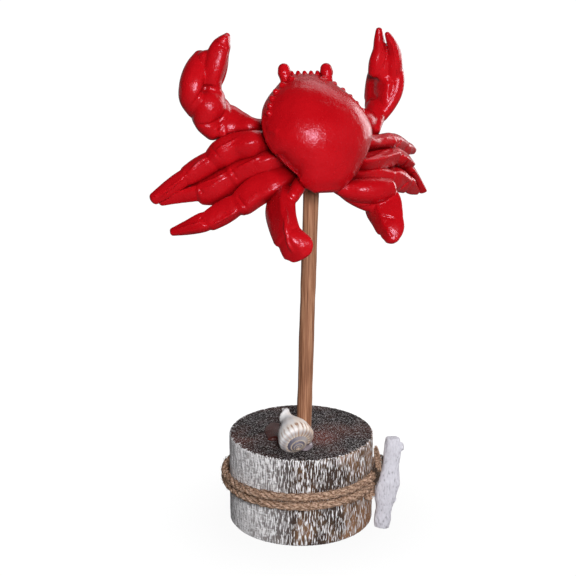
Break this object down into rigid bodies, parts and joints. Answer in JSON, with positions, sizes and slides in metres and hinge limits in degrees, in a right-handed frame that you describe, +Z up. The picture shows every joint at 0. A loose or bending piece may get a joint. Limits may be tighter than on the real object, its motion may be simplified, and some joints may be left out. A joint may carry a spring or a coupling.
{
  "type": "crab figurine",
  "caption": "Red cast crab held head-up on a wooden dowel over a round log-slice base wound with jute twine and dressed with a seashell and a whitewashed twig; stands free as a decoration.",
  "frame": {"origin": "middle of the base's flat underside", "axes": "+Z up along the height, -Y towards the viewer who sees the crab's back, +X to that viewer's right"},
  "size_m": [0.1061, 0.0856, 0.1931],
  "materials": {
    "crab_red": "satin red paint on cast resin",
    "base_wood": "stained brown and dry-brushed white",
    "stick_wood": "plain sanded dowel",
    "jute": "twisted jute fibre",
    "shell": "natural shell, faint gloss",
    "clear_glue": "clear set glue",
    "white_twig": "matte whitewash"
  },
  "bodies": {
    "root": {"base_disc": "base_wood", "stick": "stick_wood", "twine": "jute", "seashell": "shell", "shell_glue": "clear_glue", "white_twig": "white_twig", "twig_glue": "clear_glue", "carapace": "crab_red", "underbody": "crab_red", "left_eye": "crab_red", "right_eye": "crab_red", "left_claw": "crab_red", "right_claw": "crab_red", "left_leg_1": "crab_red", "left_leg_2": "crab_red", "left_leg_3": "crab_red", "left_leg_4": "crab_red", "right_leg_1": "crab_red", "right_leg_2": "crab_red", "right_leg_3": "crab_red", "right_leg_4": "crab_red"}
  },
  "joints": []
}
